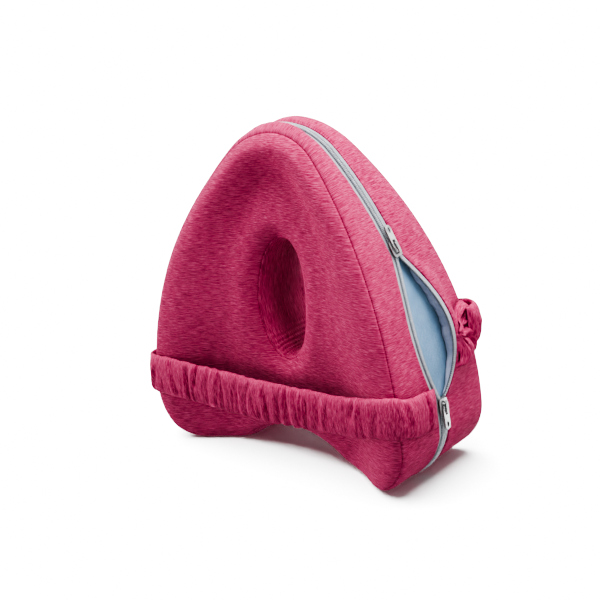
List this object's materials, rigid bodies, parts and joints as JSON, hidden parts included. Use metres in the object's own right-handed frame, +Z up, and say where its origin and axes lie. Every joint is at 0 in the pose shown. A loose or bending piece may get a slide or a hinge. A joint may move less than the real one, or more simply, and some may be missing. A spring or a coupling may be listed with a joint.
{
  "type": "contoured leg pillow",
  "caption": "Contoured memory foam leg pillow with a leg groove in both faces, a hole through the middle, a zipped knit cover and an elastic strap.",
  "frame": {"origin": "on the floor, under the middle of the pillow", "axes": "+Z up, X across the width, -Y out of the front face; the zip opens on the +X side"},
  "size_m": [0.2542, 0.1124, 0.2514],
  "materials": {
    "foam": "soft open-cell memory foam",
    "knit": "heather jersey knit, magenta",
    "strap": "gathered jersey over elastic",
    "elastic": "woven elastic band",
    "tape": "woven zip tape, light grey",
    "coil": "nylon coil",
    "facing": "thin woven facing, grey lavender",
    "slider_metal": "grey lacquered die-cast metal"
  },
  "bodies": {
    "root": {"foam_core": "foam", "front_panel": "knit", "back_panel": "knit", "hole_lining": "knit", "gusset_front": "knit", "gusset_back": "knit", "gusset_base": "knit", "gusset_flap": "knit", "zip_tape_front_upper": "tape", "zip_tape_front_lower": "tape", "zip_tape_back_upper": "tape", "zip_tape_back_lower": "tape", "zip_coil_front_upper": "coil", "zip_coil_front_lower": "coil", "zip_coil_back_upper": "coil", "zip_coil_back_lower": "coil", "zip_stop_left": "slider_metal", "zip_stop_lower": "slider_metal", "strap_left_sleeve": "strap", "strap_left_elastic": "elastic", "strap_right_sleeve": "strap", "strap_right_elastic": "elastic", "strap_gather": "strap"},
    "zip_lip": {"zip_tape_back_lip": "tape", "zip_coil_back_lip": "coil", "lip_facing": "facing"},
    "zip_front_lip": {"zip_tape_front_lip": "tape", "zip_coil_front_lip": "coil"},
    "upper_slider": {"upper_slider_body": "slider_metal", "upper_slider_bail": "slider_metal"},
    "upper_pull": {"upper_pull_tab": "slider_metal"},
    "lower_slider": {"lower_slider_body": "slider_metal", "lower_slider_bail": "slider_metal"},
    "lower_pull": {"lower_pull_tab": "slider_metal"},
    "strap_front": {"strap_front_sleeve": "strap", "strap_front_elastic": "elastic"},
    "strap_back": {"strap_back_sleeve": "strap", "strap_back_elastic": "elastic"}
  },
  "joints": [
    {"name": "upper_slider_travel", "type": "hinge", "parent": "root", "child": "upper_slider", "pos_m": [-0.16294, 0, 0.03439], "axis": [0, 1, 0], "range_deg": [0, 20.5]},
    {"name": "zip_close", "type": "slide", "parent": "root", "child": "zip_lip", "axis": [-0.4118, -0.9048, -0.1084], "range_m": [0, 0.01879], "deforming": ["zip_tape_back_lip", "zip_coil_back_lip", "lip_facing", "gusset_flap", "zip_tape_back_upper", "zip_coil_back_upper", "zip_tape_back_lower", "zip_coil_back_lower"]},
    {"name": "zip_front_close", "type": "slide", "parent": "root", "child": "zip_front_lip", "axis": [0, 1, 0], "range_m": [0, 0.011], "deforming": ["zip_tape_front_lip", "zip_coil_front_lip", "gusset_front", "zip_tape_front_upper", "zip_coil_front_upper", "zip_tape_front_lower", "zip_coil_front_lower"]},
    {"name": "upper_pull_swing", "type": "hinge", "parent": "upper_slider", "child": "upper_pull", "pos_m": [0.09259, -0.002, 0.16854], "axis": [0, 1, 0], "range_deg": [0, 100]},
    {"name": "lower_slider_travel", "type": "hinge", "parent": "root", "child": "lower_slider", "pos_m": [-0.16294, 0, 0.03439], "axis": [0, 1, 0], "range_deg": [0, 2.5]},
    {"name": "lower_pull_swing", "type": "hinge", "parent": "lower_slider", "child": "lower_pull", "pos_m": [0.12475, -0.002, 0.05738], "axis": [0, -1, 0], "range_deg": [0, 100]},
    {"name": "strap_front_stretch", "type": "slide", "parent": "root", "child": "strap_front", "axis": [0, -1, 0], "range_m": [0, 0.05], "stiffness_N_per_m": 200},
    {"name": "strap_back_stretch", "type": "slide", "parent": "root", "child": "strap_back", "axis": [0, 1, 0], "range_m": [0, 0.05], "stiffness_N_per_m": 200}
  ],
  "couplings": [
    {"joint": "zip_front_close", "follows": "upper_slider_travel", "m_per_rad": 0.030741},
    {"joint": "zip_close", "follows": "upper_slider_travel", "m_per_rad": 0.052506}
  ]
}
